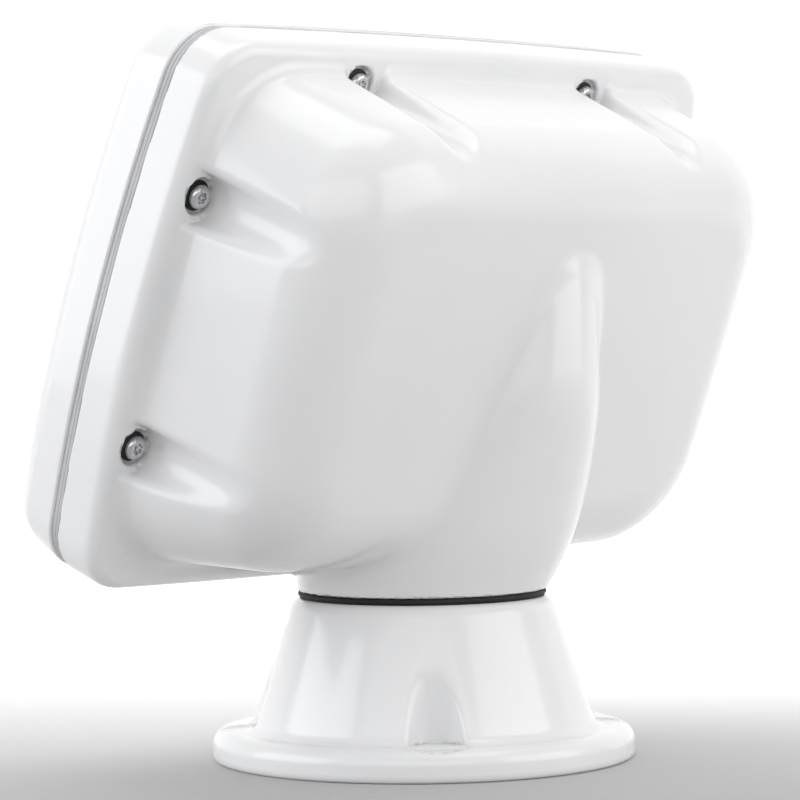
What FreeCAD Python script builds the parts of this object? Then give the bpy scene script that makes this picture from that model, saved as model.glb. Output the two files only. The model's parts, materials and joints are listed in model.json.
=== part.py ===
import FreeCAD, Part
import math
import os

# Display pod on a swivelling deck pedestal.
# World frame in mm: origin at the centre of the pedestal's underside, +Z up along the swivel
# axis, screen facing -Y and leaning back.
V = FreeCAD.Vector
os.makedirs("parts", exist_ok=True)

# ---- overall sizes -----------------------------------------------------------------------
POD_W = 310.0          # housing width at the parting line
POD_H = 223.0          # housing height at the parting line, measured in the screen plane
CORNER_R = 23.0        # corner radius at the parting line
SIDE_BOW = 7.2         # half angle of the bowed left and right sides, degrees
TOP_BOW = 1.3          # half angle of the bowed top and bottom, degrees
TILT = 21.0            # lean of the screen, degrees from upright
PART_Y = -21.3         # centre of the parting plane, world Y
EDGE_LIFT = 13.7       # lower edge of the parting line above the pedestal's top face
WALL = 5.0             # moulded wall of both housings
BACK_WALL = 4.5        # wall of the bulge

# ---- front housing -----------------------------------------------------------------------
GASKET_T = 4.5         # visible gasket band between the housings
FRONT_N = 30.0         # front panel face in front of the parting plane
FRONT_EDGE_R = 12.0    # rounded front edge
FRONT_SIDE_IN = 1.0    # draft of the sides over the depth
FRONT_TOP_IN = 5.5     # draft of top and bottom over the depth
PANEL_T = 4.0          # front panel thickness

# ---- rear housing ------------------------------------------------------------------------
FLANGE_D = 20.5        # depth of the screw flange
FLANGE_R = 5.0         # rounded rear edge of the flange
BACK_W = 92.0          # depth of the bulged back behind the parting plane
BULGE_SIDE = 11.0      # step in from the flange at each side
BULGE_TOP = 10.5       # step in at the top
BULGE_BOT = 12.5       # step in at the bottom
BULGE_FROM = 20.0      # depth at which the steps are measured
SIDE_SLOPE = 0.17      # draft of the bulge's sides, mm per mm
TOP_SLOPE = 0.10
BOT_SLOPE = 0.30
BULGE_R0, BULGE_R1 = 36.0, 44.0  # corner radii at the root and at the back face
BACK_EDGE_R = 27.0     # big rounded back edge
ROOT_R = 4.5           # concave fillet between flange and bulge
RIB_X, RIB_T, RIB_H = 70.0, 3.0, 11.0   # stiffening ribs inside the back

# ---- housing screws ----------------------------------------------------------------------
SCREW_IN = 15.5        # screw axis inside the outline
SCREW_V = 50.0         # side screws above and below the middle
SCREW_X = 69.2         # top and bottom screws left and right of the middle
SEAT_R, SEAT_W = 7.2, 17.2       # spot face: radius, depth behind the parting plane
GROOVE_R = 10.0        # shallow scoop that gives a driver room, running out on the tapered wall
GROOVE_OUT = 3.2       # its axis outside the screw's axis
GROOVE_WALL, GROOVE_TUBE = 3.5, 80.0
REAR_PILLAR_R, FRONT_PILLAR_R = 9.0, 8.0
HEAD_R, HEAD_T = 4.75, 2.75      # M5 button head
WASHER_R, WASHER_T = 6.0, 1.5    # bonded sealing washer
SHANK_R, SHANK_HOLE_R = 2.5, 2.8
SOCKET_R, SOCKET_PIN_R = 2.3, 0.8
INSERT_R, INSERT_L = 3.6, 11.0

# ---- pedestal ----------------------------------------------------------------------------
BASE_R = 85.0          # foot flange radius
BASE_T = 12.5          # foot flange thickness
FOOT_R = BASE_R - 16.0 # cone radius above the foot flange
RING_R = 50.0          # radius of top face, seal and neck
TOP_R = RING_R + 3.0   # cone radius below the top edge
BASE_TOP = 65.5        # top face of the pedestal
CONE_WALL = 4.5
TOP_PLATE = 7.5
FOOT_EDGE_R, FOOT_LOW_R, TOP_EDGE_R = 6.0, 2.5, 4.0
FOOT_FILLET = 3.0      # concave fillet between foot flange and cone
SCALLOP_R = 11.0       # hollows in the foot of the cone
SCALLOP_OUT = 0.7      # their axes outside the cone's foot
DECK_ANGLES = (45, 135, 225, 315)
DECK_PCD_R = BASE_R - 11.0       # radius of the four deck fixings
DECK_HOLE_R = 2.5      # M6 core hole in each insert
DECK_INSERT_R, DECK_INSERT_L = 4.2, 9.0
DECK_SEAL_IN, DECK_SEAL_OUT, DECK_SEAL_T = BASE_R - 5.5, BASE_R - 3.0, 2.0

# ---- swivel ------------------------------------------------------------------------------
SEAL_T = 2.0           # visible seal ring
SEAL_IN, SEAL_LIP, SEAL_DEEP = 5.5, 1.0, 1.5
NECK_GAP = 0.1         # running gap between seal ring and neck
NECK_Z = BASE_TOP + SEAL_T + NECK_GAP
FLOOR_T = 8.0          # floor of the neck
SPINDLE_R = 0.32 * RING_R
SPINDLE_BORE = SPINDLE_R - 4.0
SPINDLE_FLANGE_R, SPINDLE_FLANGE_T = 0.6 * RING_R, 4.0
SPINDLE_TAIL = 4.0     # thread below the nut
BUSH_R = SPINDLE_R + 3.0
BUSH_FLANGE_R = SPINDLE_R + 7.5
BUSH_GAP = 0.05
STOP_R, STOP_PIN_R = 0.56 * RING_R, 2.5
STOP_GROOVE, STOP_GROOVE_T = 6.4, 3.0   # width and depth of the stop groove
STOP_LAND = 4.5        # width of the land that stops the turn
STOP_DEEP, STOP_RISE = 5.5, 2.4  # stop pin below the top face and above the neck's face
THRUST_IN, THRUST_OUT = 0.66 * RING_R, 0.84 * RING_R
NUT_R, NUT_T, WAVE_T = SPINDLE_R + 9.0, 8.0, 1.5
NECK_SCREW_PCD = 0.42 * RING_R
NECK_SCREW_R, NECK_HEAD_R, NECK_HEAD_T = 2.0, 3.6, 2.4
GROMMET_BORE = SPINDLE_BORE - 3.0
# neck: rise in pod heights, walk of the centre rearwards in back depths, radius in ring radii
NECK = [(0.0, 0.0, 1.004), (0.033, 0.03, 1.046), (0.096, 0.12, 1.05), (0.177, 0.25, 0.97),
        (0.244, 0.38, 0.84), (0.347, 0.543, 0.66), (0.428, 0.598, 0.58), (0.517, 0.63, 0.52),
        (0.616, 0.668, 0.44)]

# ---- display -----------------------------------------------------------------------------
CUT_W, CUT_H, CUT_R = POD_W - 60.0, POD_H - 63.0, 6.0      # panel cut-out
BEZ_W, BEZ_H, BEZ_T = CUT_W + 18.0, CUT_H + 12.0, 6.0
CASE_W, CASE_H, CASE_T, CASE_D = CUT_W - 6.0, CUT_H - 6.0, 3.0, 35.0
WIN_W, WIN_H, WIN_X = CUT_W - 54.0, CUT_H - 40.0, -16.0
GASKET_D = 0.8         # flat gasket under the bezel
GLASS_T, GLASS_LIP, LCD_T = 2.0, 5.0, 6.4
KEY_X = CUT_W / 2 - 19.0
KEY_W, KEY_H, KEY_R = 22.0, 0.075 * CUT_H, 3.8
# heights on the panel in cut-out heights above the middle
KEYS = [("power_key", 0.4125), ("menu_key", 0.2875), ("page_key", 0.175), ("mark_key", 0.0625),
        ("exit_key", -0.05)]
KEY_VS = [(name, share * CUT_H) for name, share in KEYS]
KEY_PROUD = 1.6        # key tops above the bezel
KNOB_V, KNOB_R, KNOB_T = -0.225 * CUT_H, 0.075 * CUT_H, 12.0
KNOB_GRIPS, KNOB_GRIP_R = 24, 0.9
SHAFT_R, ENCODER_R = 3.0, 4.5
DOOR_V, DOOR_W, DOOR_H, DOOR_T = -0.4125 * CUT_H, 22.0, 0.08125 * CUT_H, 2.4
DOOR_PIN_R = 0.7
KEY_BOARD_T, KEY_BOARD_DEEP = 1.6, 5.0
BOARD_T, BOARD_UP = 1.6, 15.0
SHELF_T, POST_R = 4.0, 4.0
SINK_W, SINK_H, SINK_V = CASE_W - 74.0, CASE_H - 58.0, 12.0
SINK_T, FIN_T, FIN_PITCH, FIN_H = 3.0, 2.4, 10.0, 9.0
CLAMP_X, CLAMP_V = CUT_W / 2 - 25.0, CUT_H / 2 + 4.0
CLAMP_R = 2.0          # clamp stud radius

PART_Z = BASE_TOP + EDGE_LIFT + POD_H / 2 * math.cos(math.radians(TILT))
POD = FreeCAD.Placement(V(0, PART_Y, PART_Z), FreeCAD.Rotation(V(1, 0, 0), 90.0 - TILT))


# ---- helpers -----------------------------------------------------------------------------
def outline(w, h, r, z, cy=0.0, bow_a=SIDE_BOW, bow_b=TOP_BOW):
    """Closed rounded rectangle whose four sides are shallow tangent arcs."""
    a, b = math.radians(bow_a), math.radians(bow_b)
    # side arc radius minus corner radius, top arc radius minus corner radius
    m11, m12, c1 = 1 - math.cos(a), math.sin(b), w / 2 - r
    m21, m22, c2 = math.sin(a), 1 - math.cos(b), h / 2 - r
    det = m11 * m22 - m12 * m21
    big_a = (c1 * m22 - m12 * c2) / det
    big_b = (m11 * c2 - m21 * c1) / det
    rs, rt = big_a + r, big_b + r
    cx, ty = w / 2 - rs, h / 2 - rt
    kx, ky = big_b * math.sin(b), big_a * math.sin(a)

    def on(ox, oy, rad, ang):
        return (ox + rad * math.cos(ang), oy + rad * math.sin(ang))
    q = math.pi / 2
    mid = (a + q - b) / 2
    p_side0, p_side, p_side1 = on(cx, 0, rs, -a), (w / 2, 0), on(cx, 0, rs, a)
    p_cor = on(kx, ky, r, mid)
    p_top0, p_top = on(0, ty, rt, q - b), (0, h / 2)

    def pt(p, sx, sy):
        return V(p[0] * sx, p[1] * sy + cy, z)
    e = []

    def arc(p, m, n):
        e.append(Part.Arc(p, m, n).toShape())
    arc(pt(p_side0, 1, 1), pt(p_side, 1, 1), pt(p_side1, 1, 1))
    arc(pt(p_side1, 1, 1), pt(p_cor, 1, 1), pt(p_top0, 1, 1))
    arc(pt(p_top0, 1, 1), pt(p_top, 1, 1), pt(p_top0, -1, 1))
    arc(pt(p_top0, -1, 1), pt(p_cor, -1, 1), pt(p_side1, -1, 1))
    arc(pt(p_side1, -1, 1), pt(p_side, -1, 1), pt(p_side0, -1, 1))
    arc(pt(p_side0, -1, 1), pt(p_cor, -1, -1), pt(p_top0, -1, -1))
    arc(pt(p_top0, -1, -1), pt(p_top, 1, -1), pt(p_top0, 1, -1))
    arc(pt(p_top0, 1, -1), pt(p_cor, 1, -1), pt(p_side0, 1, 1))
    return Part.Wire(e)


def slab(w, h, r, z0, z1, cy=0.0):
    return Part.Face(outline(w, h, r, z0, cy)).extrude(V(0, 0, z1 - z0))


def box(cx, cy, w, h, z0, z1):
    return Part.makeBox(w, h, z1 - z0, V(cx - w / 2, cy - h / 2, z0))


def rbox(cx, cy, w, h, r, z0, z1):
    b = box(cx, cy, w, h, z0, z1)
    return b.makeFillet(r, [e for e in b.Edges if abs(e.BoundBox.ZLength - (z1 - z0)) < 1e-6])


def cyl(x, y, r, z0, z1):
    return Part.makeCylinder(r, z1 - z0, V(x, y, z0))


def ring(x, y, r1, r0, z0, z1):
    return cyl(x, y, r1, z0, z1).cut(cyl(x, y, r0, z0 - 1, z1 + 1))


def edges_at(s, z, tol=1e-4):
    return [e for e in s.Edges if abs(e.BoundBox.ZMin - z) < tol and abs(e.BoundBox.ZMax - z) < tol]


def fuse(parts):
    out = parts[0]
    if len(parts) > 1:
        out = out.multiFuse(parts[1:])
    return out.removeSplitter()


def world(shape):
    """Copy of a shape drawn in the screen plane, moved to where the housing stands."""
    s = shape.copy()
    s.Placement = POD.multiply(s.Placement)
    return s


def put(name, shape, pod=True):
    (world(shape) if pod else shape).exportStep("parts/%s.step" % name)


def polar(radius, angle):
    return radius * math.cos(math.radians(angle)), radius * math.sin(math.radians(angle))


def poly_face(pts):
    """Face in the XZ plane from points and ('arc', middle, end) entries."""
    e, cur = [], pts[0]
    for p in pts[1:] + [pts[0]]:
        if p[0] == "arc":
            m, n = p[1], p[2]
            e.append(Part.Arc(V(cur[0], 0, cur[1]), V(m[0], 0, m[1]), V(n[0], 0, n[1])).toShape())
            cur = n
        elif abs(p[0] - cur[0]) + abs(p[1] - cur[1]) > 1e-9:
            e.append(Part.makeLine(V(cur[0], 0, cur[1]), V(p[0], 0, p[1])))
            cur = p
    return Part.Face(Part.Wire(e))


def turn(pts):
    return poly_face(pts).revolve(V(0, 0, 0), V(0, 0, 1), 360)


# housing screw positions in the screen plane
SX = POD_W / 2 - SCREW_IN
SY = POD_H / 2 - SCREW_IN
SCREWS = [(sx * SX, sy * SCREW_V) for sx in (1, -1) for sy in (1, -1)]
SCREWS += [(sx * SCREW_X, sy * SY) for sx in (1, -1) for sy in (1, -1)]
SCOOPS = [(x + math.copysign(GROOVE_OUT, x), y) if abs(x) > SX - 1 else (x, y + math.copysign(GROOVE_OUT, y))
          for x, y in SCREWS]


def webs(z0, z1, reach=13.0, width=8.0):
    """Ribs that tie each screw pillar to the nearest wall."""
    out = []
    for x, y in SCREWS:
        if abs(x) > abs(SX) - 1:
            out.append(box(x + math.copysign(reach / 2, x), y, reach, width, z0, z1))
        else:
            out.append(box(x, y + math.copysign(reach / 2, y), width, reach, z0, z1))
    return out


def frame_ring(d0, d1, z0, z1):
    """Band that follows the housing outline, from d0 to d1 inside it."""
    a = slab(POD_W - 2 * d0, POD_H - 2 * d0, CORNER_R - d0, z0, z1)
    return a.cut(slab(POD_W - 2 * d1, POD_H - 2 * d1, CORNER_R - d1, z0 - 1, z1 + 1))


# ---- rear housing ------------------------------------------------------------------------
def bulge(off, depth, edge_r, w0=12.0):
    """Tapered bulge, moved inwards by off, from depth w0 to its back face."""
    def sec(w, r):
        side = BULGE_SIDE + SIDE_SLOPE * (w - BULGE_FROM) + off
        top = BULGE_TOP + TOP_SLOPE * (w - BULGE_FROM) + off
        bot = BULGE_BOT + BOT_SLOPE * (w - BULGE_FROM) + off
        return outline(POD_W - 2 * side, POD_H - top - bot, r - off, -w, (bot - top) / 2, 2.0, 1.0)
    s = Part.makeLoft([sec(w0, BULGE_R0), sec(depth, BULGE_R1)], True, True)
    return s.makeFillet(edge_r, edges_at(s, -depth))


def neck(off, first, last, lift=0.0):
    """Neck that leans back with the housing: circles whose centres walk rearwards."""
    wires = []
    for k in range(first, last):
        rise, back, radius = NECK[k]
        z = NECK_Z + rise * POD_H + (lift if k == first else 0.0)
        wires.append(Part.Wire([Part.makeCircle(RING_R * radius - off, V(0, back * BACK_W, z))]))
    return Part.makeLoft(wires, True, False)


def reaches(e, inside):
    """Does an edge come closer than inside to the housing's bounding rectangle?"""
    b = e.BoundBox
    return (max(b.XMax, -b.XMin) > POD_W / 2 - inside) or (max(b.YMax, -b.YMin) > POD_H / 2 - inside)


body = fuse([slab(POD_W, POD_H, CORNER_R, 0, -FLANGE_D), bulge(0, BACK_W, BACK_EDGE_R)])
body = body.makeFillet(ROOT_R, [e for e in edges_at(body, -FLANGE_D) if not reaches(e, 8.0)])
corner = 2.5 * CORNER_R       # the outline's corner arcs are shorter than this
rim = [e for e in edges_at(body, -FLANGE_D) if reaches(e, 1.0) or e.Length < corner]
body = body.makeFillet(FLANGE_R, rim)
cavity = fuse([slab(POD_W - 2 * WALL, POD_H - 2 * WALL, CORNER_R - WALL, 1, BACK_WALL - FLANGE_D),
               bulge(BACK_WALL, BACK_W - BACK_WALL, BACK_EDGE_R - BACK_WALL)])
pillars = [cyl(x, y, REAR_PILLAR_R, -SEAT_W - 1.5, 0) for x, y in SCREWS]
tubes = [cyl(x, y, GROOVE_R + GROOVE_WALL, -GROOVE_TUBE, -10) for x, y in SCOOPS]
grooves = [cyl(x, y, GROOVE_R, -BACK_W - 1, -FLANGE_D) for x, y in SCOOPS]
seats = [cyl(x, y, SEAT_R, -FLANGE_D - 8, -SEAT_W) for x, y in SCREWS]
holes = [cyl(x, y, SHANK_HOLE_R, -SEAT_W - 5, 1) for x, y in SCREWS]
ribs = [box(sx * RIB_X, 8.0, RIB_T, POD_H - 73.0, 3.0 - BACK_W, 3.0 - BACK_W + RIB_H) for sx in (-1, 1)]
inner = fuse(pillars + tubes + webs(-SEAT_W - 1.5, 0) + ribs).common(body)

outer = fuse([world(body), neck(0, 0, len(NECK))])
hollow = fuse([world(cavity), neck(WALL, 1, len(NECK) - 1, FLOOR_T - NECK[1][0] * POD_H)])
rear = outer.cut(hollow).fuse(world(inner))
cuts = [world(s) for s in grooves + seats + holes]
cuts.append(cyl(0, 0, SPINDLE_R, NECK_Z - 1, NECK_Z + FLOOR_T + 1))
# stop groove in the underside of the neck, interrupted by one land at the front
stop = ring(0, 0, STOP_R + STOP_GROOVE / 2, STOP_R - STOP_GROOVE / 2, NECK_Z - 1, NECK_Z + STOP_GROOVE_T)
cuts.append(stop.cut(box(0, -STOP_R, STOP_LAND, 14, NECK_Z - 1.5, NECK_Z + STOP_GROOVE_T + 1)))
NECK_SCREWS = [polar(NECK_SCREW_PCD, a) for a in (0, 90, 180, 270)]
cuts += [cyl(x, y, NECK_SCREW_R, NECK_Z + 4.0, NECK_Z + FLOOR_T + 1) for x, y in NECK_SCREWS]
for c in cuts:
    rear = rear.cut(c)
put("rear_housing", rear.removeSplitter(), pod=False)

# ---- front housing -----------------------------------------------------------------------
TOP_Z = FRONT_N - PANEL_T     # inner face of the front panel
front = Part.makeLoft([outline(POD_W, POD_H, CORNER_R, GASKET_T),
                       outline(POD_W - 2 * FRONT_SIDE_IN, POD_H - 2 * FRONT_TOP_IN, CORNER_R - 1, FRONT_N)],
                      True, True)
front = front.makeFillet(FRONT_EDGE_R, edges_at(front, FRONT_N))
in_w = POD_W - 2 * FRONT_SIDE_IN - 2 * WALL - 4.0
in_h = POD_H - 2 * FRONT_TOP_IN - 2 * WALL - 3.0
f_in = Part.makeLoft([outline(POD_W - 2 * WALL, POD_H - 2 * WALL, CORNER_R - WALL, GASKET_T - 1),
                      outline(in_w, in_h, CORNER_R - WALL, TOP_Z)], True, True)
f_pillars = [cyl(x, y, FRONT_PILLAR_R, GASKET_T, TOP_Z + 1) for x, y in SCREWS]
f_fill = fuse(f_pillars + webs(GASKET_T, TOP_Z + 1)).common(front)
front = front.cut(f_in).fuse(f_fill)
front = front.cut(rbox(0, 0, CUT_W, CUT_H, CUT_R, TOP_Z - 2, FRONT_N + 2))
for x, y in SCREWS:
    front = front.cut(cyl(x, y, INSERT_R, GASKET_T - 1, GASKET_T + INSERT_L))
    front = front.cut(cyl(x, y, SHANK_R + 0.3, GASKET_T + INSERT_L - 1, GASKET_T + INSERT_L + 3))
put("front_housing", front.removeSplitter())

# ---- gasket between the housings ---------------------------------------------------------
LIP_T = 0.9                   # narrower lip that seats on the rear housing
gasket = fuse([frame_ring(1.2, WALL, LIP_T, GASKET_T), frame_ring(2.2, WALL, 0, LIP_T)]
              + [cyl(x, y, 7.6, 0, GASKET_T) for x, y in SCREWS]
              + [w.common(slab(POD_W - 8, POD_H - 8, CORNER_R - 4, 0, GASKET_T))
                 for w in webs(0, GASKET_T, 12.0, 7.0)])
for x, y in SCREWS:
    gasket = gasket.cut(cyl(x, y, SHANK_HOLE_R, -1, GASKET_T + 1))
put("housing_gasket", gasket.removeSplitter())

# ---- tamper-resistant screws, washers and brass inserts ----------------------------------
screws, washers, inserts = [], [], []
under = -(SEAT_W + WASHER_T)  # underside of the heads
for x, y in SCREWS:
    head = cyl(x, y, HEAD_R, under - HEAD_T, under)
    head = head.makeFillet(1.8, edges_at(head, under - HEAD_T))
    sock = cyl(x, y, SOCKET_R, under - HEAD_T - 1, under - 1.0)
    pin = cyl(x, y, SOCKET_PIN_R, under - HEAD_T + 0.4, under - 0.8)
    shank = cyl(x, y, SHANK_R, under - 0.5, GASKET_T + INSERT_L - 0.5)
    screws.append(fuse([head.cut(sock), pin, shank]))
    washers.append(ring(x, y, WASHER_R, SHANK_HOLE_R, under, -SEAT_W))
    inserts.append(ring(x, y, INSERT_R, SHANK_R, GASKET_T, GASKET_T + INSERT_L))
put("security_screws", Part.makeCompound(screws))
put("screw_washers", Part.makeCompound(washers))
put("screw_inserts", Part.makeCompound(inserts))

# ---- pedestal ----------------------------------------------------------------------------
BT = BASE_TOP
D = math.sqrt(0.5)            # middle of a quarter arc
LOW, UP = FOOT_LOW_R * (1 - D), FOOT_EDGE_R * (1 - D)
cone_foot = BASE_T + FOOT_FILLET
slope = (FOOT_R - TOP_R) / (BT - TOP_EDGE_R - cone_foot)
outer_b = turn([(0, 0), (BASE_R - FOOT_LOW_R, 0), ("arc", (BASE_R - LOW, LOW), (BASE_R, FOOT_LOW_R)),
                (BASE_R, BASE_T - FOOT_EDGE_R),
                ("arc", (BASE_R - UP, BASE_T - UP), (BASE_R - FOOT_EDGE_R, BASE_T)),
                (FOOT_R + 3.2, BASE_T), ("arc", (FOOT_R + 0.9, BASE_T + 0.8), (FOOT_R, cone_foot)),
                (TOP_R, BT - TOP_EDGE_R), ("arc", (RING_R + 2.2, BT - 1.1), (RING_R, BT)), (0, BT)])
bore = turn([(0, -1), (FOOT_R - 8, -1), (FOOT_R - 8, 8.0), (FOOT_R - CONE_WALL - 1.5, cone_foot),
             (TOP_R - CONE_WALL + slope * (TOP_PLATE - TOP_EDGE_R), BT - TOP_PLATE), (0, BT - TOP_PLATE)])
# scallops cut into the foot of the cone, with the wall kept behind them
scallops = [polar(FOOT_R + SCALLOP_OUT, a) for a in DECK_ANGLES]
backs = [cyl(x, y, SCALLOP_R + CONE_WALL, 0, BT - 2 * TOP_PLATE + 1.5).common(outer_b) for x, y in scallops]
base = outer_b.cut(bore).fuse(backs)
for x, y in scallops:
    base = base.cut(cyl(x, y, SCALLOP_R, BASE_T, BT + 5))
DECK = [polar(DECK_PCD_R, a) for a in DECK_ANGLES]
for x, y in DECK:
    base = base.cut(cyl(x, y, DECK_INSERT_R, -1, DECK_INSERT_L))
base = base.cut(ring(0, 0, DECK_SEAL_OUT, DECK_SEAL_IN, -1, DECK_SEAL_T))
base = base.cut(cyl(0, 0, BUSH_R, BT - TOP_PLATE - 1, BT + 1))
base = base.cut(ring(0, 0, RING_R - SEAL_LIP, RING_R - SEAL_IN, BT - SEAL_DEEP, BT + 1))
base = base.cut(cyl(0, STOP_R, STOP_PIN_R, BT - STOP_DEEP, BT + 1))
put("pedestal_base", base.removeSplitter(), pod=False)
put("deck_gasket", ring(0, 0, DECK_SEAL_OUT, DECK_SEAL_IN, 0, DECK_SEAL_T), pod=False)
put("deck_inserts", Part.makeCompound([ring(x, y, DECK_INSERT_R, DECK_HOLE_R, 0, DECK_INSERT_L)
                                       for x, y in DECK]), pod=False)

# ---- swivel ------------------------------------------------------------------------------
lip, groove = RING_R - SEAL_LIP, RING_R - SEAL_IN
put("swivel_seal", turn([(groove, BT - SEAL_DEEP), (lip, BT - SEAL_DEEP), (lip, BT), (RING_R - 0.3, BT),
                         ("arc", (RING_R + 0.2, BT + SEAL_T / 2), (RING_R - 0.3, BT + SEAL_T)),
                         (groove, BT + SEAL_T)]), pod=False)
put("swivel_bushing", fuse([ring(0, 0, BUSH_R, SPINDLE_R + BUSH_GAP, BT - TOP_PLATE, BT + 0.5),
                            ring(0, 0, BUSH_FLANGE_R, SPINDLE_R + BUSH_GAP, BT, BT + SEAL_T)]), pod=False)
put("thrust_washer", ring(0, 0, THRUST_OUT, THRUST_IN, BT, BT + SEAL_T), pod=False)
pin = cyl(0, STOP_R, STOP_PIN_R, BT - STOP_DEEP, NECK_Z + STOP_RISE)
put("stop_pin", pin.makeFillet(0.6, edges_at(pin, NECK_Z + STOP_RISE)), pod=False)

FZ = NECK_Z + FLOOR_T         # inner face of the neck's floor
NUT_TOP = BT - TOP_PLATE - WAVE_T - 0.1
spin = fuse([ring(0, 0, SPINDLE_FLANGE_R, SPINDLE_BORE, FZ, FZ + SPINDLE_FLANGE_T),
             ring(0, 0, SPINDLE_R, SPINDLE_BORE, NUT_TOP + 0.1 - NUT_T - SPINDLE_TAIL, FZ + 1.0)])
sp_screws = []
head_z = FZ + SPINDLE_FLANGE_T
for x, y in NECK_SCREWS:
    spin = spin.cut(cyl(x, y, NECK_SCREW_R + 0.2, FZ - 1, head_z + 1))
    head = cyl(x, y, NECK_HEAD_R, head_z, head_z + NECK_HEAD_T)
    head = head.makeFillet(0.8, edges_at(head, head_z + NECK_HEAD_T))
    drive = fuse([box(x, y, w, h, head_z + 1.2, head_z + 3) for w, h in ((4.2, 1.0), (1.0, 4.2))])
    sp_screws.append(fuse([head.cut(drive), cyl(x, y, NECK_SCREW_R, NECK_Z + 4.5, head_z + 0.2)]))
put("spindle_tube", spin.removeSplitter(), pod=False)
put("spindle_screws", Part.makeCompound(sp_screws), pod=False)
nut = ring(0, 0, NUT_R, SPINDLE_R, NUT_TOP - NUT_T, NUT_TOP)
for a in range(0, 360, 60):
    x, y = polar(NUT_R + 0.5, a)
    nut = nut.cut(cyl(x, y, 3.2, NUT_TOP - NUT_T - 1, NUT_TOP - 1.5))
put("spindle_nut", nut, pod=False)
put("spring_washer", ring(0, 0, NUT_R - 2.0, SPINDLE_R + 0.4, NUT_TOP, NUT_TOP + WAVE_T), pod=False)
put("cable_grommet", fuse([ring(0, 0, SPINDLE_BORE, GROMMET_BORE, FZ - 4, FZ + 4.5),
                           ring(0, 0, SPINDLE_BORE + 4.0, GROMMET_BORE, head_z, head_z + 2.5)]), pod=False)

# ---- display unit ------------------------------------------------------------------------
B0 = FRONT_N + GASKET_D       # rear face of the bezel
B1 = B0 + BEZ_T
bez = rbox(0, 0, BEZ_W, BEZ_H, 10.0, B0, B1)
bez = bez.makeFillet(1.6, edges_at(bez, B1))
bez = bez.cut(rbox(WIN_X, 0, WIN_W, WIN_H, 3.0, B0 - 1, B1 + 1))
bez = bez.cut(rbox(WIN_X, 0, WIN_W + 2 * GLASS_LIP, WIN_H + 2 * GLASS_LIP, 4.0, B1 - GLASS_T, B1 + 1))
for name, v in KEY_VS:
    bez = bez.cut(rbox(KEY_X, v, KEY_W + 0.4, KEY_H + 0.4, KEY_R + 0.2, B0 - 1, B1 + 1))
    bez = bez.cut(box(KEY_X, v, KEY_W + 3.4, KEY_H + 3.4, B0 - 1, B0 + 2.6))
bez = bez.cut(cyl(KEY_X, KNOB_V, ENCODER_R + 0.1, B0 - 1, B1 + 1))
# card bay: recess for the door, slot behind it
bez = bez.cut(box(KEY_X, DOOR_V, DOOR_W + 0.4, DOOR_H + 0.4, B1 - 2.7, B1 + 1))
bez = bez.cut(box(KEY_X, DOOR_V + 1.5, 16.0, 5.0, B0 - 1, B1))
HINGE_R = DOOR_T / 2
PIN_V, PIN_N = DOOR_V - DOOR_H / 2 + 1.25, B1 - 1.35


def along(radius, length):
    """Round bar on the card door's hinge line."""
    return Part.makeCylinder(radius, length, V(KEY_X - length / 2, PIN_V, PIN_N), V(1, 0, 0))


door_pin = along(DOOR_PIN_R, DOOR_W + 4.0)
put("display_bezel", bez.cut(door_pin).removeSplitter())
put("door_pin", door_pin)
leaf_top = DOOR_V + DOOR_H / 2
door = box(KEY_X, (PIN_V + leaf_top) / 2, DOOR_W, leaf_top - PIN_V, PIN_N - HINGE_R, PIN_N + HINGE_R)
door = door.fuse(along(HINGE_R, DOOR_W)).cut(box(KEY_X, leaf_top - 2.1, 10.0, 3.0, PIN_N + 0.6, PIN_N + 2.6))
put("card_door", door.cut(along(DOOR_PIN_R + 0.05, DOOR_W + 2)).removeSplitter())

seal_d = rbox(0, 0, BEZ_W - 4, BEZ_H - 3, 8.0, FRONT_N, B0)
put("display_gasket", seal_d.cut(rbox(0, 0, CUT_W, CUT_H, CUT_R, FRONT_N - 1, B0 + 1)))
put("cover_glass", rbox(WIN_X, 0, WIN_W + 2 * GLASS_LIP - 0.4, WIN_H + 2 * GLASS_LIP - 0.4, 3.8,
                        B1 - GLASS_T, B1 - 0.1))
LCD_BACK = B1 - GLASS_T - 0.1 - LCD_T
put("lcd_panel", rbox(WIN_X, 0, WIN_W - 1, WIN_H - 1, 2.0, LCD_BACK, LCD_BACK + LCD_T))

C0 = B0 - CASE_D              # back of the display case
case = rbox(0, 0, CASE_W, CASE_H, 8.0, C0, B0)
case = case.makeFillet(3.0, edges_at(case, C0))
case = case.cut(rbox(0, 0, CASE_W - 2 * CASE_T, CASE_H - 2 * CASE_T, 5.0, C0 + CASE_T, B0 + 1))
# screen shelves on both sides of the panel, board posts in the corners
shelf_x = WIN_W / 2 - 6.0
posts = [(x, sy * (CASE_H / 2 - 19)) for x in (22 - CASE_W / 2, CASE_W / 2 - 34) for sy in (-1, 1)]
shelves = [box(WIN_X + sx * shelf_x, 0, SHELF_T, CASE_H - 4, C0 + 2, LCD_BACK) for sx in (-1, 1)]
case = fuse([case] + shelves + [cyl(x, y, POST_R, C0 + 2, C0 + BOARD_UP) for x, y in posts])
gap_z = C0 + CASE_T + 21.0    # top of the openings in the shelves
board_h = CASE_H - 26.0
board = box(-6.0, 0, CASE_W - 44, board_h, C0 + BOARD_UP, C0 + BOARD_UP + BOARD_T)
for sx in (-1, 1):
    x = WIN_X + sx * shelf_x
    case = case.cut(box(x, 10, SHELF_T + 2, 40, C0 + CASE_T, gap_z))
    for sy in (-1, 1):
        case = case.cut(box(x, sy * (CASE_H / 2 - 15), SHELF_T + 2, 12.5, C0 + CASE_T, gap_z))
    slot = box(x, 0, SHELF_T + 1, board_h - 16, C0 + BOARD_UP - 1, C0 + BOARD_UP + 3)
    board = board.cut(slot.cut(box(x, 10, SHELF_T + 3, 40, C0, gap_z + 1)))
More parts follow.
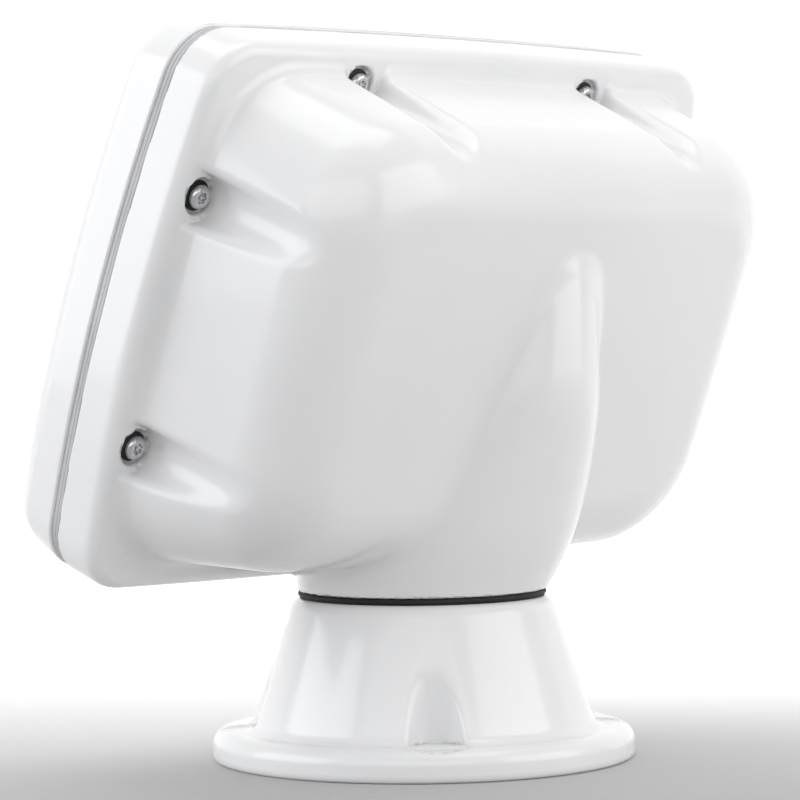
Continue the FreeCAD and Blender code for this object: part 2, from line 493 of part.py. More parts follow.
put("display_case", case.removeSplitter())
put("main_board", board.removeSplitter())
on_board = C0 + BOARD_UP + BOARD_T
CHIPS = [(-40, 20, 28, 28, 2.4), (5, 28, 18, 14, 1.4), (5, 6, 18, 14, 1.4), (-45, -28, 34, 12, 4.4),
         (30, -32, 16, 10, 7.4)]
chips = [box(x, y, w, h, on_board, on_board + t) for x, y, w, h, t in CHIPS]
chips += [cyl(40 + 12 * k, board_h / 2 - 18, 4.5, on_board, on_board + 10.4) for k in (0, 1)]
put("board_parts", Part.makeCompound(chips))

kb1 = B0 - KEY_BOARD_DEEP
kb0 = kb1 - KEY_BOARD_T
kb_low, kb_high = KNOB_V - 21.0, CASE_H / 2 - 6.0
key_board = box(KEY_X, (kb_low + kb_high) / 2, 24.0, kb_high - kb_low, kb0, kb1)
put("key_board", key_board.cut(cyl(KEY_X, KNOB_V, ENCODER_R + 0.2, kb0 - 1, kb1 + 1)))
put("key_pads", Part.makeCompound([cyl(KEY_X, v, 4.5, kb1, kb1 + 2.9) for name, v in KEY_VS]))
for name, v in KEY_VS:
    cap = rbox(KEY_X, v, KEY_W, KEY_H, KEY_R, B0 + 1.5, B1 + KEY_PROUD)
    cap = cap.makeFillet(0.9, edges_at(cap, B1 + KEY_PROUD))
    lip = rbox(KEY_X, v, KEY_W + 2.6, KEY_H + 2.6, 3.0, B0 + 1.1, B0 + 2.5)
    put(name, fuse([cap, lip, cyl(KEY_X, v, 2.0, B0 - 1.0, B0 + 1.2)]))

enc = fuse([box(KEY_X, KNOB_V, 14.0, 14.0, kb0 - 7.4, kb0),
            cyl(KEY_X, KNOB_V, ENCODER_R, kb0 - 0.2, B1 - 0.6)])
put("knob_encoder", enc.cut(cyl(KEY_X, KNOB_V, SHAFT_R + 0.05, kb0 - 4.4, B1)))
K0 = B1 + 0.8
K1 = K0 + KNOB_T
knob = cyl(KEY_X, KNOB_V, KNOB_R, K0, K1)
knob = knob.makeFillet(1.5, edges_at(knob, K1))
for k in range(KNOB_GRIPS):
    x, y = polar(KNOB_R + 0.4, 360.0 / KNOB_GRIPS * k)
    knob = knob.cut(cyl(KEY_X + x, KNOB_V + y, KNOB_GRIP_R, K0 + 2.0, K1 + 1))
knob = knob.cut(cyl(KEY_X, KNOB_V, KNOB_R - 4, K1 - 0.8, K1 + 1))
knob = knob.cut(cyl(KEY_X, KNOB_V, SHAFT_R, K0 - 1, K1 - 3))
put("knob_cap", knob.removeSplitter())
put("knob_shaft", cyl(KEY_X, KNOB_V, SHAFT_R, kb0 - 3.9, K1 - 3))

# heat sink, connectors and clamps behind the display
sink = [box(0, SINK_V, SINK_W, SINK_H, C0 - SINK_T, C0)]
for k in range(int(SINK_W // FIN_PITCH)):
    x = (k + 0.5) * FIN_PITCH - SINK_W / 2
    sink.append(box(x, SINK_V, FIN_T, SINK_H - 4, C0 - SINK_T - FIN_H, C0 - SINK_T + 0.5))
put("heat_sink", fuse(sink))


def socket(x, y, r, z0, z1):
    s = fuse([cyl(x, y, r, z0, z1), cyl(x, y, r + 2.5, z1 - 3, z1)])
    s = s.cut(cyl(x, y, r - 1.6, z0 - 1, z1 - 5))
    offsets = [polar(2.2, a) for a in (0, 90, 180, 270)]
    return fuse([s] + [cyl(x + dx, y + dy, 0.6, z0 + 2, z1 - 4.5) for dx, dy in offsets])


SOCKET_V = 19.0 - CASE_H / 2
put("power_socket", socket(72, SOCKET_V, 9.0, C0 - 16, C0))
put("data_sockets", Part.makeCompound([socket(x, SOCKET_V, 6.5, C0 - 14, C0) for x in (40, 12, -16)]))
brackets, studs, nuts = [], [], []
for sx in (-1, 1):
    for sy in (-1, 1):
        x, y = sx * CLAMP_X, sy * CLAMP_V
        plate = box(x, sy * (CASE_H / 2 + 6), 16, 12, TOP_Z - 18, TOP_Z - 14)
        brackets.append(plate.cut(cyl(x, y, CLAMP_R, TOP_Z - 20, TOP_Z - 12)))
        studs.append(fuse([cyl(x, y, CLAMP_R, TOP_Z - 27, TOP_Z - 1.5), cyl(x, y, 3.6, TOP_Z - 1.6, TOP_Z)]))
        nuts.append(ring(x, y, 5.5, CLAMP_R, TOP_Z - 24, TOP_Z - 18))
put("clamp_brackets", Part.makeCompound(brackets))
put("clamp_studs", Part.makeCompound(studs))
put("clamp_nuts", Part.makeCompound(nuts))
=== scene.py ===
import json
import math

import bmesh
import bpy
import numpy as np
from mathutils import Matrix, Vector


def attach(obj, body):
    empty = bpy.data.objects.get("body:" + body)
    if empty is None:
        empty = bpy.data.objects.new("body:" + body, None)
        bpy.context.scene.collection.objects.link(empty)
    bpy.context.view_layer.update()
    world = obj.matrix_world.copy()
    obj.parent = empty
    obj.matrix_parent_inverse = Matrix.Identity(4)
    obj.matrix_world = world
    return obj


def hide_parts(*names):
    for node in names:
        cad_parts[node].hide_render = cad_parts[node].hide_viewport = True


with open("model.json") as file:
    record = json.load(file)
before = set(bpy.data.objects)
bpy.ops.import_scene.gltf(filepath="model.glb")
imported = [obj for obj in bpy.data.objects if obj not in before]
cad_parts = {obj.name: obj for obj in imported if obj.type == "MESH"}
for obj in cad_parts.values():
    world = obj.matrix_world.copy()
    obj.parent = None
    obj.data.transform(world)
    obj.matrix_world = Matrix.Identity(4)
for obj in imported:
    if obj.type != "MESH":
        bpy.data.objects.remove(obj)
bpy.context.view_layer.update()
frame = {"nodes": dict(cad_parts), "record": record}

# ---- sizes in millimetres --------------------------------------------------------------------
# A size that the CAD part also names has its value there, unless a note says otherwise. Softened
# edges and the rest that the CAD doesn't name belong to this scene.
POD_W, POD_H, CORNER_R = 310.0, 223.0, 23.0
SIDE_BOW, TOP_BOW = math.radians(7.2), math.radians(1.3)
TILT = math.radians(21.0)
PART_Y, PART_Z = -21.3, 183.3           # the CAD works PART_Z out as 183.294
WALL = 5.0

GASKET_T = 4.5
FRONT_N = 30.0
FRONT_EDGE_R = 12.0
FRONT_SIDE_IN, FRONT_TOP_IN = 1.0, 5.5
FRONT_HOLLOW_R = 9.0   # inner corner, round enough to stay inside the rounded front edge
PARTING_R = 0.8        # softened edge against the gasket
PANEL_T = 4.0
CUT_W, CUT_H, CUT_R = 250.0, 160.0, 6.0
CUT_BOW, CUT_EDGE_R = 0.002, 0.5

FLANGE_D, FLANGE_R = 20.5, 5.5          # edge radius 0.5 larger than the CAD's
REAR_EDGE_R = 0.7
BACK_W, BACK_SAG = 92.0, 1.6            # the back is crowned, which the CAD's is not
CROWN_W, CROWN_H, CROWN_V = 125.0, 85.0, 8.0
BULGE_FROM, BULGE_START = 20.0, 8.0     # depths: where the steps are measured, where the draft begins
BULGE_R0, BULGE_R1, BULGE_R_FROM = 36.0, 44.0, 12.0
BULGE_BOWS = (math.radians(2.0), math.radians(1.0))
BULGE_LEAN, NECK_LEAN = 0.975, 0.93     # keep distances true on the sloping walls
BULGE_SIDE, BULGE_TOP, BULGE_BOT = 11.0, 10.5, 12.5
SIDE_SLOPE, TOP_SLOPE, BOT_SLOPE = 0.17, 0.10, 0.30
BACK_EDGE_R = 27.0
ROOT_R = 5.0                            # 0.5 larger than the CAD's
NECK_FROM, NECK_ROOT_R, NECK_TOP_R, NECK_EDGE_R = 4.0, 4.0, 12.0, 0.8
HOLLOW_GAIN = 0.4                       # the bulge's wall is this much thinner than WALL

SCREW_IN, SCREW_V, SCREW_X = 15.5, 50.0, 69.2
SEAT_R, SEAT_W = 7.2, 17.2
GROOVE_R, GROOVE_OUT, GROOVE_WALL, GROOVE_TUBE = 10.0, 3.2, 3.5, 80.0
GROOVE_SOFT, SEAT_SOFT = 3.6, 1.3       # rounded edges of groove and seat
HEAD_R, HEAD_T, WASHER_T, SHANK_R = 4.75, 2.75, 1.5, 2.5
REAR_PILLAR_R, FRONT_PILLAR_R = 9.0, 8.0
SCREW_HOLE_R, INSERT_HOLE_R, INSERT_L = 2.9, 3.6, 11.0

BASE_R, BASE_T, FOOT_R, TOP_R, RING_R = 85.0, 12.5, 69.0, 53.0, 50.0
BASE_TOP, CONE_WALL, TOP_PLATE = 65.5, 4.5, 7.5
FOOT_EDGE_R, FOOT_LOW_R, FOOT_ROOT_R, FOOT_FILLET = 6.0, 2.5, 3.5, 3.0
TOP_EDGE, TOP_EDGE_R = 4.0, 4.5         # edge radius 0.5 larger than the CAD's
SCALLOP_R, SCALLOP_AT, SCALLOP_SOFT = 11.0, 69.7, 2.6
FOOT_FLOOR = 8.0                        # inner edge of the hollow foot, up and in
BASE_BORE_R = 19.0
DECK_PCD_R, DECK_INSERT_R, DECK_INSERT_L = 74.0, 4.2, 9.0
DECK_GROOVE_R, DECK_GROOVE, DECK_GROOVE_T = 80.75, 2.5, 2.0
SEAL_MID, SEAL_GROOVE, SEAL_DEEP, SEAL_T = 3.25, 4.5, 1.5, 2.0
NECK_Z = BASE_TOP + SEAL_T + 0.1
FLOOR_T, SPINDLE_R = 8.0, 16.0
STOP_R, STOP_PIN_R, STOP_DEEP = 28.0, 2.5, 5.5
# groove wider and deeper and land narrower than the CAD's 6.4, 3.0 and 4.5: room round the pin
STOP_GROOVE, STOP_GROOVE_T, STOP_LAND = 7.0, 3.4, 2.6

# neck: height, how far its centre has walked rearwards, radius
NECK = ((67.6, 0.0, 50.2), (75.0, 2.8, 52.3), (89.0, 11.0, 52.5), (107.0, 23.0, 48.5),
        (122.0, 35.0, 42.0), (145.0, 50.0, 33.0), (163.0, 55.0, 29.0), (183.0, 58.0, 26.0),
        (205.0, 61.5, 22.0))

SX, SY = POD_W / 2 - SCREW_IN, POD_H / 2 - SCREW_IN
SCREWS = [(a * SX, b * SCREW_V) for a in (1, -1) for b in (1, -1)]
SCREWS += [(a * SCREW_X, b * SY) for a in (1, -1) for b in (1, -1)]
MM = 0.001


# ---- distance fields ------------------------------------------------------------------------
def both(a, b, r):
    """Inside a and b, with the edge between them rounded to radius r."""
    return np.minimum(-r, np.maximum(a, b)) + np.hypot(np.maximum(a + r, 0), np.maximum(b + r, 0))


def either(a, b, r):
    """Inside a or b, with a fillet of radius r between them."""
    return np.maximum(r, np.minimum(a, b)) - np.hypot(np.maximum(r - a, 0), np.maximum(r - b, 0))


def arc_sides(w, h, r, bow_a, bow_b):
    """Arc radii and corner centre of a rounded rectangle with bowed sides."""
    m11, m12, c1 = 1 - math.cos(bow_a), math.sin(bow_b), w / 2 - r
    m21, m22, c2 = math.sin(bow_a), 1 - math.cos(bow_b), h / 2 - r
    det = m11 * m22 - m12 * m21
    big_a = (c1 * m22 - m12 * c2) / det
    big_b = (m11 * c2 - m21 * c1) / det
    return big_a + r, big_b + r, big_b * math.sin(bow_b), big_a * math.sin(bow_a)


def outline(x, v, w, h, r, bow_a=SIDE_BOW, bow_b=TOP_BOW):
    """Signed distance to the rounded rectangle in its own plane."""
    rs, rt, kx, ky = arc_sides(w, h, r, bow_a, bow_b)
    x, v = np.abs(x), np.abs(v)
    side = np.hypot(x - (w / 2 - rs), v) - rs
    top = np.hypot(x, v - (h / 2 - rt)) - rt
    corner = np.hypot(x - kx, v - ky) - r
    dx, dv = x - kx, v - ky
    wedge = (dv * math.cos(bow_a) > dx * math.sin(bow_a)) & (dx * math.cos(bow_b) > dv * math.sin(bow_b))
    return np.where(wedge, corner, np.maximum(side, top))


def smooth_table(z, rows, col):
    """Smooth curve through a short table of heights and values."""
    zs = np.array([p[0] for p in rows])
    vs = np.array([p[col] for p in rows])
    slopes = np.gradient(vs, zs)
    z = np.clip(z, zs[0], zs[-1])
    k = np.clip(np.searchsorted(zs, z, side="right") - 1, 0, len(zs) - 2)
    span = zs[k + 1] - zs[k]
    t = (z - zs[k]) / span
    t2, t3 = t * t, t * t * t
    return ((2 * t3 - 3 * t2 + 1) * vs[k] + (t3 - 2 * t2 + t) * span * slopes[k]
            + (3 * t2 - 2 * t3) * vs[k + 1] + (t3 - t2) * span * slopes[k + 1])


def to_pod(p):
    """World point in mm to x, height in the screen plane, depth behind the parting plane."""
    s, c = math.sin(TILT), math.cos(TILT)
    y, z = p[:, 1] - PART_Y, p[:, 2] - PART_Z
    return p[:, 0], y * s + z * c, y * c - z * s


def from_pod(x, v, w):
    s, c = math.sin(TILT), math.cos(TILT)
    return np.stack([x, PART_Y + v * s + w * c, PART_Z + v * c - w * s], axis=-1)


def screw_axis(x, v, out=0.0):
    """Distance from the nearest housing screw axis, or from the axis that lies out mm outside it."""
    x, v = np.abs(x), np.abs(v)
    return np.minimum(np.hypot(x - SX - out, v - SCREW_V), np.hypot(x - SCREW_X, v - SY - out))


def rear_parts(p):
    """The solid pod and the solid neck that the rear housing is made from."""
    x, v, w = to_pod(p)
    flange = both(outline(x, v, POD_W, POD_H, CORNER_R), w - FLANGE_D, FLANGE_R)
    wc = np.clip(w, BULGE_START, BACK_W)
    side = BULGE_SIDE + SIDE_SLOPE * (wc - BULGE_FROM)
    top = BULGE_TOP + TOP_SLOPE * (wc - BULGE_FROM)
    bot = BULGE_BOT + BOT_SLOPE * (wc - BULGE_FROM)
    wide, high = POD_W - 2 * side, POD_H - top - bot
    corner = BULGE_R0 + (BULGE_R1 - BULGE_R0) * (wc - BULGE_R_FROM) / (BACK_W - BULGE_R_FROM)
    wall = outline(x, v - (bot - top) / 2, wide, high, corner, *BULGE_BOWS) * BULGE_LEAN
    crown = BACK_SAG * ((x / CROWN_W) ** 2 + ((v - CROWN_V) / CROWN_H) ** 2) / 2
    bulge = both(wall, w - BACK_W + crown, BACK_EDGE_R)
    pod = either(flange, bulge, ROOT_R)
    z = p[:, 2]
    yc, rad = smooth_table(z, NECK, 1), smooth_table(z, NECK, 2)
    neck = (np.hypot(p[:, 0], p[:, 1] - yc) - rad) * NECK_LEAN
    neck = both(neck, z - NECK[-1][0], NECK_TOP_R)
    return x, v, w, z, pod, neck


def rear_field(p):
    """Rear housing: pod and neck as one shell, with grooves, seats, pillars, bore and stop groove."""
    x, v, w, z, pod, neck = rear_parts(p)
    axis, scoop = screw_axis(x, v), screw_axis(x, v, GROOVE_OUT)
    stem = np.maximum(both(neck, NECK_Z - z, NECK_EDGE_R), NECK_FROM - w)
    outer = both(either(pod, stem, NECK_ROOT_R), -w, REAR_EDGE_R)
    cut = np.minimum(both(outer, GROOVE_R - scoop, GROOVE_SOFT), w - FLANGE_D)
    outer = np.maximum(outer, cut)
    seat = np.minimum(both(outer, SEAT_R - axis, SEAT_SOFT), np.minimum(w - SEAT_W, FLANGE_D + 8 - w))
    outer = np.maximum(outer, seat)
    hollow = np.minimum(pod + WALL - HOLLOW_GAIN, np.maximum(neck, NECK_FROM - w) + WALL)
    hollow = np.maximum(hollow, NECK_Z + FLOOR_T - z)
    pillar = np.maximum(axis - REAR_PILLAR_R, w - SEAT_W - 2.0)
    tube = np.maximum(scoop - GROOVE_R - GROOVE_WALL, np.maximum(10.0 - w, w - GROOVE_TUBE))
    hollow = np.maximum(hollow, -np.minimum(pillar, tube))
    shell = np.maximum(outer, -hollow)
    shell = np.maximum(shell, -np.maximum(axis - SCREW_HOLE_R, w - SEAT_W - 3.0))
    turn = np.hypot(p[:, 0], p[:, 1])
    shell = np.maximum(shell, -np.maximum(turn - SPINDLE_R, z - NECK_Z - FLOOR_T - 2))
    land = np.maximum(np.abs(p[:, 0]) - STOP_LAND / 2, p[:, 1])
    groove = np.maximum(np.abs(turn - STOP_R) - STOP_GROOVE / 2, z - NECK_Z - STOP_GROOVE_T)
    stop = np.maximum(groove, -land)
    return np.maximum(shell, -stop)


def front_field(p):
    """Front housing: tapered rounded shell with the panel opening and the insert pillars."""
    x, v, w = to_pod(p)
    n = -w
    t = np.clip((n - GASKET_T) / (FRONT_N - GASKET_T), 0, 1)
    wide, high = POD_W - 2 * FRONT_SIDE_IN * t, POD_H - 2 * FRONT_TOP_IN * t
    flat = outline(x, v, wide, high, CORNER_R - t)
    outer = both(both(flat, n - FRONT_N, FRONT_EDGE_R), GASKET_T - n, PARTING_R)
    hollow = both(flat + WALL, n - FRONT_N + PANEL_T, FRONT_HOLLOW_R)
    axis = screw_axis(x, v)
    hollow = np.maximum(hollow, FRONT_PILLAR_R - axis)
    shell = np.maximum(outer, -hollow)
    cut = outline(x, v, CUT_W, CUT_H, CUT_R, CUT_BOW, CUT_BOW)
    shell = both(shell, -np.maximum(cut, n - 2 * FRONT_N), CUT_EDGE_R)
    return np.maximum(shell, -np.maximum(axis - INSERT_HOLE_R, n - GASKET_T - INSERT_L))


def base_field(p):
    """Pedestal: foot, cone and top plate, hollow, with scallops, grooves, insert holes and pin hole."""
    x, y, z = p[:, 0], p[:, 1], p[:, 2]
    r = np.hypot(x, y)
    foot = both(both(r - BASE_R, z - BASE_T, FOOT_EDGE_R), -z, FOOT_LOW_R)
    lean = (FOOT_R - TOP_R) / (BASE_TOP - TOP_EDGE - BASE_T - FOOT_FILLET)
    cone = (r - FOOT_R + lean * (z - BASE_T - FOOT_FILLET)) / math.hypot(1, lean)
    solid = np.maximum(either(foot, both(cone, z - BASE_TOP, TOP_EDGE_R), FOOT_ROOT_R), -z)
    a = np.abs(x), np.abs(y)
    k = SCALLOP_AT * math.sqrt(0.5)
    scallop = np.hypot(a[0] - k, a[1] - k) - SCALLOP_R
    solid = both(solid, -np.maximum(scallop, BASE_T - z), SCALLOP_SOFT)
    hollow = np.maximum(cone + CONE_WALL, z - BASE_TOP + TOP_PLATE)
    hollow = np.maximum(hollow, -(scallop - CONE_WALL))
    hollow = np.where(z < FOOT_FLOOR, np.maximum(hollow, r - FOOT_R + FOOT_FLOOR), hollow)
    shell = np.maximum(solid, -hollow)
    shell = np.maximum(shell, -np.maximum(r - BASE_BORE_R, BASE_TOP - TOP_PLATE - 2 - z))
    seal = np.maximum(np.abs(r - RING_R + SEAL_MID) - SEAL_GROOVE / 2, BASE_TOP - SEAL_DEEP - z)
    shell = np.maximum(shell, -seal)
    d = DECK_PCD_R * math.sqrt(0.5)
    insert = np.maximum(np.hypot(a[0] - d, a[1] - d) - DECK_INSERT_R, z - DECK_INSERT_L)
    gasket = np.maximum(np.abs(r - DECK_GROOVE_R) - DECK_GROOVE / 2, z - DECK_GROOVE_T)
    pin = np.maximum(np.hypot(x, y - STOP_R) - STOP_PIN_R, BASE_TOP - STOP_DEEP - z)
    return np.maximum(shell, -np.minimum(np.minimum(insert, gasket), pin))


# ---- field to mesh --------------------------------------------------------------------------
PROBE = 0.05    # half the distance over which a slope is measured


def gradient(field, p):
    g = np.empty_like(p)
    for k in range(3):
        e = np.zeros(3)
        e[k] = PROBE
        g[:, k] = (field(p + e) - field(p - e)) / (2 * PROBE)
    return g


def grid_axis(lo, hi, step, dense_at=None, dense=0.5, reach=2.5):
    """Grid positions along one axis, closer together round one value if asked."""
    if dense_at is None:
        return np.arange(lo, hi + step, step)
    mid = np.arange(dense_at - reach, dense_at + reach + dense / 2, dense)
    below = np.arange(mid[0] - step, lo - step, -step)[::-1]
    above = np.arange(mid[-1] + step, hi + step, step)
    return np.concatenate([below, mid, above])


def polygonise(field, axes, step, place):
    """Closed quad mesh of field < 0. place maps grid points to world points."""
    nx, ny, nz = (len(a) for a in axes)
    vals = np.empty((nx, ny, nz))
    gy, gz = np.meshgrid(axes[1], axes[2], indexing="ij")
    slab = 16
    for i in range(0, nx, slab):
        xs = axes[0][i:i + slab]
        g = np.stack([np.repeat(xs, ny * nz), np.tile(gy.ravel(), len(xs)), np.tile(gz.ravel(), len(xs))], 1)
        vals[i:i + slab] = field(place(g)).reshape(len(xs), ny, nz)
    neg = vals < 0
    cells = np.zeros((nx - 1, ny - 1, nz - 1), int)
    corners = [(i, j, k) for i in (0, 1) for j in (0, 1) for k in (0, 1)]

    def at(a, c):
        return a[c[0]:c[0] + nx - 1, c[1]:c[1] + ny - 1, c[2]:c[2] + nz - 1]
    for c in corners:
        cells += at(neg, c)
    active = (cells > 0) & (cells < 8)
    ids = np.full(active.shape, -1)
    ids[active] = np.arange(active.sum())
    total = np.zeros((active.sum(), 3))
    count = np.zeros(active.sum())
    for c in corners:
        for k in range(3):
            if c[k]:
                continue
            d = list(c)
            d[k] = 1
            va, vb = at(vals, c)[active], at(vals, d)[active]
            cross = (va < 0) != (vb < 0)
            t = va[cross] / (va[cross] - vb[cross])
            pt = np.tile(np.array(c, float), (cross.sum(), 1))
            pt[:, k] += t
            total[cross] += pt
            count[cross] += 1
    base = np.argwhere(active)
    grid = base + total / count[:, None]
    verts = place(np.stack([np.interp(grid[:, k], np.arange(len(axes[k])), axes[k]) for k in range(3)], 1))
    quads = []
    for k in range(3):
        a, b = (k + 1) % 3, (k + 2) % 3
        lo_, hi_ = [slice(1, -1)] * 3, [slice(1, -1)] * 3
        lo_[k], hi_[k] = slice(0, -1), slice(1, None)
        s0, s1 = neg[tuple(lo_)], neg[tuple(hi_)]
        for sign in (True, False):
            e = np.argwhere((s0 != s1) & (s0 == sign))
            e[:, a] += 1
            e[:, b] += 1
            q = []
            for da, db in ((0, 0), (-1, 0), (-1, -1), (0, -1)):
                c = e.copy()
                c[:, a] += da
                c[:, b] += db
                q.append(ids[c[:, 0], c[:, 1], c[:, 2]])
            q = np.stack(q, 1)
            quads.append(q if sign else q[:, ::-1])
    for _ in range(3):
        g = gradient(field, verts)
        n2 = np.maximum((g * g).sum(1), 0.05)
        move = -field(verts)[:, None] * g / n2[:, None]
        size = np.linalg.norm(move, axis=1, keepdims=True)
        verts = verts + move * np.minimum(1.0, 0.5 * step / np.maximum(size, 1e-9))
    return verts, np.concatenate(quads), gradient(field, verts)


def weld(verts, quads, normals):
    """Join the two ends of a mesh that was made on a grid that closes on itself."""
    places = np.round(verts / 1e-3).astype(int)
    _, first, group = np.unique(places, axis=0, return_index=True, return_inverse=True)
    quads = group.ravel()[quads]
    _, keep = np.unique(np.sort(quads, axis=1), axis=0, return_index=True)
    return verts[first], quads[keep], normals[first]


def field_piece(name, field, axes, step, place, closes=False):
    """Object made from a distance field, with the field's own slope as its normals."""
    verts, quads, normals = polygonise(field, axes, step, place)
    if closes:
        verts, quads, normals = weld(verts, quads, normals)
    me = bpy.data.meshes.new(name)
    me.from_pydata((verts * MM).tolist(), [], quads.tolist())
    me.validate()
    me.polygons.foreach_set("use_smooth", [True] * len(me.polygons))
    if me.polygons[0].normal.dot(Vector(normals[quads[0, 0]])) < 0:
        me.flip_normals()
    unit = normals / np.maximum(np.linalg.norm(normals, axis=1, keepdims=True), 1e-9)
    me.normals_split_custom_set_from_vertices(unit.tolist())
    ob = bpy.data.objects.new(name, me)
    bpy.context.scene.collection.objects.link(ob)
    return ob


def pod_grid(g):
    """Grid of x, height and depth in the pod to world points."""
    return from_pod(g[:, 0], g[:, 1], g[:, 2])


def round_grid(g):
    """Grid of angle, radius and height to world points."""
    return np.stack([g[:, 1] * np.cos(g[:, 0]), g[:, 1] * np.sin(g[:, 0]), g[:, 2]], 1)


# ---- materials ------------------------------------------------------------------------------
class Nodes:
    """A small helper that builds one node material."""

    def __init__(self, name):
        self.mat = bpy.data.materials.new(name)
        self.mat.use_nodes = True
        self.tree = self.mat.node_tree
        self.bsdf = self.tree.nodes["Principled BSDF"]

    def add(self, kind, **values):
        node = self.tree.nodes.new(kind)
        for key, value in values.items():
            if key in node.inputs:
                node.inputs[key].default_value = value
            else:
                setattr(node, key, value)
        return node

    def link(self, a, out, b, into):
        self.tree.links.new(a.outputs[out], b.inputs[into])

    def set(self, **values):
        for key, value in values.items():
            self.bsdf.inputs[key.replace("_", " ")].default_value = value

    def coords(self):
        return self.add("ShaderNodeTexCoord")

    def noise(self, coord, scale, detail=3.0, rough=0.55):
        n = self.add("ShaderNodeTexNoise", Scale=scale, Detail=detail, Roughness=rough)
        self.link(coord, "Object", n, "Vector")
        return n

    def ramp(self, src, out, lo, hi, a, b):
        """Value between lo and hi becomes a to b."""
        m = self.add("ShaderNodeMapRange")
        for key, value in zip(("From Min", "From Max", "To Min", "To Max"), (lo, hi, a, b)):
            m.inputs[key].default_value = value
        self.link(src, out, m, "Value")
        return m

    def tint(self, src, out, c0, c1, p0=0.0, p1=1.0):
        r = self.add("ShaderNodeValToRGB")
        r.color_ramp.elements[0].position, r.color_ramp.elements[0].color = p0, (*c0, 1)
        r.color_ramp.elements[1].position, r.color_ramp.elements[1].color = p1, (*c1, 1)
        self.link(src, out, r, "Fac")
        self.link(r, "Color", self.bsdf, "Base Color")
        return r

    def bump(self, src, out, strength, distance):
        b = self.add("ShaderNodeBump", Strength=strength, Distance=distance)
        self.link(src, out, b, "Height")
        self.link(b, "Normal", self.bsdf, "Normal")
        return b

    def rough(self, src, out, lo, hi, a, b):
        m = self.ramp(src, out, lo, hi, a, b)
        self.link(m, "Result", self.bsdf, "Roughness")


def gloss_moulding():
    m = Nodes("white_gloss_moulding")
    c = m.coords()
    cloud = m.noise(c, 9.0, 4.0)
    peel = m.noise(c, 260.0, 2.0)
    m.tint(cloud, "Fac", (0.800, 0.803, 0.812), (0.845, 0.846, 0.850), 0.3, 0.7)
    m.rough(m.noise(c, 40.0, 5.0), "Fac", 0.3, 0.7, 0.20, 0.27)
    m.bump(peel, "Fac", 0.05, 0.0006)
    m.set(Coat_Weight=0.35, Coat_Roughness=0.06, IOR=1.49)
    return m.mat


def soft_rubber(name, dark, light, grain=900.0, rough=(0.55, 0.75)):
    m = Nodes(name)
    c = m.coords()
    fine = m.noise(c, grain, 3.0)
    m.tint(m.noise(c, 30.0, 4.0), "Fac", dark, light, 0.35, 0.65)
    m.rough(fine, "Fac", 0.3, 0.7, *rough)
    m.bump(fine, "Fac", 0.12, 0.0003)
    m.set(Specular_IOR_Level=0.35)
    return m.mat


def machined_metal(name, dark, light, rough=(0.22, 0.38), stretch=(1.0, 1.0, 14.0), metallic=1.0):
    m = Nodes(name)
    c = m.coords()
    mapping = m.add("ShaderNodeMapping")
    mapping.inputs["Scale"].default_value = stretch
    m.link(c, "Object", mapping, "Vector")
    lines = m.add("ShaderNodeTexNoise", Scale=420.0, Detail=4.0, Roughness=0.6)
    m.link(mapping, "Vector", lines, "Vector")
    m.tint(lines, "Fac", dark, light, 0.3, 0.7)
    m.rough(m.noise(c, 120.0, 4.0), "Fac", 0.3, 0.7, *rough)
    m.bump(lines, "Fac", 0.08, 0.0002)
    m.set(Metallic=metallic)
    return m.mat


def textured_plastic(name, dark, light, grain=1500.0, rough=(0.38, 0.55), strength=0.25):
    m = Nodes(name)
    c = m.coords()
    spark = m.add("ShaderNodeTexVoronoi", Scale=grain)
    m.link(c, "Object", spark, "Vector")
    m.tint(m.noise(c, 18.0, 4.0), "Fac", dark, light, 0.3, 0.7)
    m.rough(m.noise(c, 60.0, 4.0), "Fac", 0.3, 0.7, *rough)
    m.bump(spark, "Distance", strength, 0.00025)
    return m.mat


def screen_glass():
    m = Nodes("cover_glass_coated")
    c = m.coords()
    m.tint(m.noise(c, 6.0, 2.0), "Fac", (0.010, 0.012, 0.016), (0.016, 0.019, 0.026), 0.3, 0.7)
    m.rough(m.noise(c, 35.0, 5.0), "Fac", 0.35, 0.75, 0.03, 0.07)
    m.set(IOR=1.52, Coat_Weight=0.5, Coat_Roughness=0.02)
    return m.mat


def lcd_stack():
    m = Nodes("lcd_stack")
    c = m.coords()
    wave = m.add("ShaderNodeTexWave", Scale=1200.0, Distortion=0.0)
    m.link(c, "Object", wave, "Vector")
    m.tint(wave, "Fac", (0.012, 0.014, 0.018), (0.02, 0.023, 0.03))
    m.rough(m.noise(c, 50.0), "Fac", 0.3, 0.7, 0.2, 0.3)
    return m.mat


def circuit_board():
    m = Nodes("circuit_board_mask")
    c = m.coords()
    brick = m.add("ShaderNodeTexVoronoi", Scale=170.0, feature="DISTANCE_TO_EDGE")
    m.link(c, "Object", brick, "Vector")
    m.tint(brick, "Distance", (0.03, 0.22, 0.09), (0.012, 0.105, 0.045), 0.02, 0.06)
    m.rough(m.noise(c, 90.0), "Fac", 0.3, 0.7, 0.32, 0.45)
    m.bump(brick, "Distance", 0.2, 0.0002)
    return m.mat


